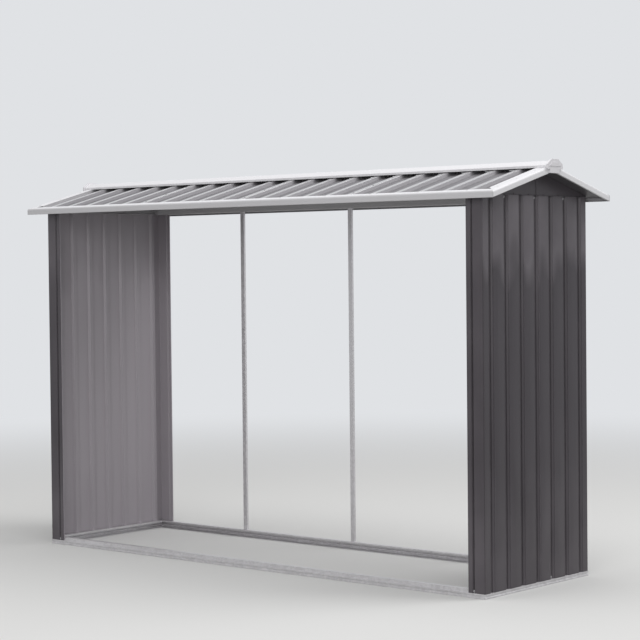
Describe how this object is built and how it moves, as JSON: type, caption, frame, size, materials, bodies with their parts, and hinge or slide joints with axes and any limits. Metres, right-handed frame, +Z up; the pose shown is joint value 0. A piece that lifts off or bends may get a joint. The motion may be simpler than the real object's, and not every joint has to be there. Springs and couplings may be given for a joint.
{
  "type": "log store",
  "caption": "Open log store of ribbed sheet steel: end walls with folded returns on a rail frame, slim back posts and a low gable roof.",
  "frame": {"origin": "on the ground at the middle of the footprint", "axes": "+X along the ridge to the right end wall, +Y from the front to the back, +Z up"},
  "size_m": [2.5278, 0.7738, 1.5996],
  "materials": {
    "wall_sheet": "satin",
    "gable_sheet": "satin",
    "roof_sheet": "satin",
    "beam_paint": "satin",
    "galvanised_steel": "galvanised",
    "trim_paint": "gloss",
    "end_cap_plastic": "matte"
  },
  "bodies": {
    "root": {"left_wall_front_panel": "wall_sheet", "left_wall_back_panel": "wall_sheet", "right_wall_front_panel": "wall_sheet", "right_wall_back_panel": "wall_sheet", "left_gable_front": "gable_sheet", "left_gable_back": "gable_sheet", "right_gable_front": "gable_sheet", "right_gable_back": "gable_sheet", "roof_sheet_front_1": "roof_sheet", "roof_sheet_front_2": "roof_sheet", "roof_sheet_front_3": "roof_sheet", "roof_sheet_front_4": "roof_sheet", "roof_sheet_back_1": "roof_sheet", "roof_sheet_back_2": "roof_sheet", "roof_sheet_back_3": "roof_sheet", "roof_sheet_back_4": "roof_sheet", "front_beam": "beam_paint", "back_beam": "beam_paint", "left_wall_tie": "beam_paint", "right_wall_tie": "beam_paint", "base_rail_front": "galvanised_steel", "base_rail_back": "galvanised_steel", "base_rail_left": "galvanised_steel", "base_rail_right": "galvanised_steel", "back_post_left": "galvanised_steel", "back_post_middle": "galvanised_steel", "back_post_right": "galvanised_steel", "ridge_beam": "galvanised_steel", "eave_trim_front": "trim_paint", "eave_trim_back": "trim_paint", "left_verge_trim_front": "trim_paint", "left_verge_trim_back": "trim_paint", "right_verge_trim_front": "trim_paint", "right_verge_trim_back": "trim_paint", "ridge_cap": "trim_paint", "left_ridge_end_cap": "end_cap_plastic", "right_ridge_end_cap": "end_cap_plastic"}
  },
  "joints": []
}
